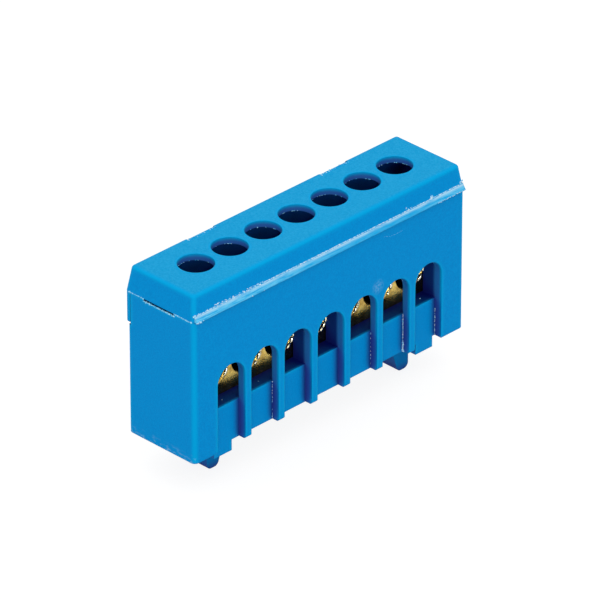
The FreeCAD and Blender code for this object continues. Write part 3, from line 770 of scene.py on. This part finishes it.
def make_scratch(pale):
    """A faint arc scratched into the front face below the lip."""
    crumbs = Crumbs("front_scratch", seed=97)
    points = [Vector((x * MM, FRONT, z * MM)) for x, z in SCRATCH_POINTS]
    for start, end in zip(points, points[1:]):
        crumbs.run(start, end, SCRATCH_WIDTH, drift=SCRATCH_DRIFT, keep=0.6)
    crumbs.finish(pale, "housing_plastic")


# The flash on the end faces, partly a painted highlight of the housing's lit upper edge: its front and back,
# its height and width, and the share of it that is left
SEAM_FLASH_AND_HIGHLIGHT = (
    (FRONT + 0.5 * MM, -PRY_SLOT_HALF, SEAM, 0.22 * MM, 1.0),
    (-PRY_SLOT_HALF, PRY_SLOT_HALF, PRY_SLOT_FLOOR, 0.28 * MM, 1.0),
    (PRY_SLOT_HALF, UPPER_BACK, SEAM, 0.20 * MM, 0.9),
)
SEAM_DRIFT = 0.02 * MM

# The lumps in it: where they are from front to back, and their size
SEAM_LUMPS = (
    (UPPER_BACK + 0.1 * MM, 0.42 * MM),
    (2.9 * MM, 0.26 * MM),
    (1.7 * MM, 0.22 * MM),
    (-1.4 * MM, 0.24 * MM),
    (-3.4 * MM, 0.24 * MM),
    (-6.3 * MM, 0.36 * MM),
)
SEAM_LUMP_TILT = (0, 1, 0.3)


def make_seam_flash(pale):
    """The housing's upper edge on its end faces, rubbed pale where the cover was levered off, and paled as a
    painted highlight where the edge catches the light.
    """
    crumbs = Crumbs("seam_flash_and_highlight", seed=37)
    # Pale lumps along the seam: partly flash, partly a painted highlight of the edge
    for x in (-HALF_LENGTH, HALF_LENGTH):
        for front, back, level, width, keep in SEAM_FLASH_AND_HIGHLIGHT:
            crumbs.run((x, front, level), (x, back, level), width, drift=SEAM_DRIFT, keep=keep)
        for y, size in SEAM_LUMPS:
            level = SEAM if abs(y) > PRY_SLOT_HALF else PRY_SLOT_FLOOR
            crumbs.lump((x, y, level), SEAM_LUMP_TILT, SPECK_STRETCH * size, size)
    crumbs.finish(pale, "housing_plastic")


# The specks on a driver hole's lower rim: how many, between which degrees, and their lengths and widths
RIM_SPECKS = (5, 9)
RIM_ANGLES = (0, 110)
RIM_LENGTHS = (0.12, 0.34)
RIM_WIDTHS = (0.08, 0.16)
RIM_SPECK_RADIUS = DRIVER_HOLE_RADIUS - 0.02 * MM
RIM_SPECK_LEVEL = PLATE_UNDERSIDE + 0.04 * MM


def make_hole_burrs(pale):
    """Specks left round the lower rims of the driver holes."""
    crumbs = Crumbs("driver_hole_burrs", seed=53)
    dice = crumbs.dice
    for x in ROW:
        for _ in range(dice.randint(*RIM_SPECKS)):
            angle = math.radians(dice.uniform(*RIM_ANGLES))
            aside = RIM_SPECK_RADIUS * math.cos(angle)
            back = RIM_SPECK_RADIUS * math.sin(angle)
            place = (x + aside, back, RIM_SPECK_LEVEL)
            along = (-math.sin(angle), math.cos(angle), 0)
            length = dice.uniform(*RIM_LENGTHS) * MM
            width = dice.uniform(*RIM_WIDTHS) * MM
            crumbs.lump(place, along, length, width)
    crumbs.finish(pale, "cover_plastic")


# The burrs round a wire hole, heavy on its lower right and light on its upper right, with angles in degrees
BURR_FACE = BAR_FRONT - 0.06 * MM
HEAVY_BURR_RADIUS = WIRE_HOLE_RADIUS + 0.16 * MM
HEAVY_BURR_SPAN = (-50, 2)
LIGHT_BURR_RADIUS = WIRE_HOLE_RADIUS + 0.08 * MM
LIGHT_BURR_SPAN = (2, 55)


def make_drill_burrs():
    """Burrs on the rims of the wire holes, on the side where the drill broke out, paled towards white as
    painted glints.
    """
    crumbs = Crumbs("wire_hole_burrs", seed=71, smooth=True)
    for x in ROW:
        centre = (x, BURR_FACE, WIRE_HOLE_LEVEL)
        crumbs.arc(centre, HEAVY_BURR_RADIUS, HEAVY_BURR_SPAN, width=0.40 * MM, keep=0.55)
        crumbs.arc(centre, LIGHT_BURR_RADIUS, LIGHT_BURR_SPAN, width=0.20 * MM, keep=0.35)
    crumbs.finish(bright_brass(), "bar_brass")


# The flash in a notch, just before its back wall
NOTCH_FLASH_BACK = NOTCH_BACK - 0.2 * MM
NOTCH_FLASH_WIDTH = 0.20 * MM
NOTCH_FLASH_DRIFT = 0.12 * MM
NOTCH_LUMP_LENGTH = 0.7 * MM
NOTCH_LUMP_WIDTH = 0.25 * MM


def make_notch_flash(pale):
    """Thin pale flash in the two notches in the cover's back edge."""
    crumbs = Crumbs("notch_flash", seed=89)
    for middle in (ROW[1], ROW[-2]):
        start = (middle - NOTCH_HALF, NOTCH_FLASH_BACK, COVER_TOP)
        end = (middle + NOTCH_HALF, NOTCH_FLASH_BACK, COVER_TOP)
        crumbs.run(start, end, NOTCH_FLASH_WIDTH, drift=NOTCH_FLASH_DRIFT, keep=0.6)
        crumbs.lump(start, (0, 1, 0), NOTCH_LUMP_LENGTH, NOTCH_LUMP_WIDTH)
    crumbs.finish(pale, "cover_plastic")


def make_flash():
    white = torn_plastic("whitened_plastic", TORN_WHITE)
    pale = torn_plastic("paled_plastic_and_edge_highlight", TORN_PALE_AND_EDGE_HIGHLIGHT)
    make_jamb_flash(white)
    make_lip_flash(white)
    make_scratch(pale)
    make_seam_flash(pale)
    make_hole_burrs(pale)
    make_notch_flash(pale)
    make_drill_burrs()


# The studio

# The floor: half its width, its colour for light thrown back, and its colour and glow where it is seen
FLOOR_REACH = 3.0
FLOOR_BOUNCE = (0.65, 0.65, 0.65, 1)
FLOOR_SHADE = (0.22, 0.22, 0.22, 1)
FLOOR_GLOW = 0.86

# The tent's light at the horizon and overhead, and its colour
TENT_LIGHT = (0.30, 1.15)
WHITE = (1, 1, 1, 1)

# The key lamp: the way to it from the block, how far off and how wide it is in metres, and its watts
KEY_DIRECTION = Vector((-0.60, -0.72, 0.35))
KEY_DISTANCE = 0.9
KEY_SIZE = 0.14
KEY_POWER = 1.7


def seen_directly(tree):
    """1 for a ray from the camera or by way of gloss or glass, and 0 for one that only carries light."""
    path = tree.nodes.new("ShaderNodeLightPath")
    seen = path.outputs["Is Camera Ray"]
    for kind in ("Is Glossy Ray", "Is Transmission Ray"):
        either = tree.nodes.new("ShaderNodeMath")
        either.operation = "MAXIMUM"
        tree.links.new(seen, either.inputs[0])
        tree.links.new(path.outputs[kind], either.inputs[1])
        seen = either.outputs[0]
    return seen


def show(tree, lit, seen, output):
    """Lights the object with one shader and shows another where the background is seen."""
    mix = tree.nodes.new("ShaderNodeMixShader")
    tree.links.new(seen_directly(tree), mix.inputs["Fac"])
    tree.links.new(lit, mix.inputs[1])
    tree.links.new(seen, mix.inputs[2])
    tree.links.new(mix.outputs[0], output.inputs["Surface"])


def make_floor():
    """A white floor: lit plainly for the object, and almost white with a soft shadow where it is seen."""
    mesh = bpy.data.meshes.new("floor")
    corners = [(-1, -1), (1, -1), (1, 1), (-1, 1)]
    places = [(x * FLOOR_REACH, y * FLOOR_REACH, FLOOR_LEVEL) for x, y in corners]
    mesh.from_pydata(places, [], [(0, 1, 2, 3)])
    floor = bpy.data.objects.new("floor", mesh)
    bpy.context.scene.collection.objects.link(floor)
    shader = Shader("white_floor")
    tree = shader.tree
    tree.nodes.remove(shader.surface)
    output = next(node for node in tree.nodes if node.type == "OUTPUT_MATERIAL")
    bounce = shader.add("ShaderNodeBsdfDiffuse")
    bounce.inputs["Color"].default_value = FLOOR_BOUNCE
    shade = shader.add("ShaderNodeBsdfDiffuse")
    shade.inputs["Color"].default_value = FLOOR_SHADE
    glow = shader.add("ShaderNodeEmission")
    glow.inputs["Strength"].default_value = FLOOR_GLOW
    both = shader.add("ShaderNodeAddShader")
    shader.join(shade.outputs[0], both.inputs[0])
    shader.join(glow.outputs[0], both.inputs[1])
    show(tree, bounce.outputs[0], both.outputs[0], output)
    mesh.materials.append(shader.material)


def make_world():
    """A soft tent: dim at the horizon and bright overhead, and plain white where it is seen."""
    world = bpy.data.worlds.new("studio")
    bpy.context.scene.world = world
    world.use_nodes = True
    tree = world.node_tree
    tree.nodes.clear()
    output = tree.nodes.new("ShaderNodeOutputWorld")
    place = tree.nodes.new("ShaderNodeTexCoord")
    split = tree.nodes.new("ShaderNodeSeparateXYZ")
    tree.links.new(place.outputs["Generated"], split.inputs[0])
    rise = tree.nodes.new("ShaderNodeMapRange")
    rise.inputs["To Min"].default_value, rise.inputs["To Max"].default_value = TENT_LIGHT
    tree.links.new(split.outputs["Z"], rise.inputs["Value"])
    lit = tree.nodes.new("ShaderNodeBackground")
    tree.links.new(rise.outputs["Result"], lit.inputs["Strength"])
    seen = tree.nodes.new("ShaderNodeBackground")
    for node in (lit, seen):
        node.inputs["Color"].default_value = WHITE
    show(tree, lit.outputs[0], seen.outputs[0], output)


def make_key_light():
    """A round soft lamp from the front left, aimed at the middle of the block."""
    data = bpy.data.lights.new("key", "AREA")
    data.shape = "DISK"
    data.size = KEY_SIZE
    data.energy = KEY_POWER
    light = bpy.data.objects.new("key", data)
    bpy.context.scene.collection.objects.link(light)
    aim = KEY_DIRECTION.normalized()
    light.location = Vector((0, 0, SEAM / 2)) + aim * KEY_DISTANCE
    light.rotation_euler = aim.to_track_quat("Z", "Y").to_euler()


def make_studio():
    make_floor()
    make_world()
    make_key_light()
    bpy.context.scene.view_settings.view_transform = "Standard"


make_camera()
dress_nodes()
make_flash()
make_studio()
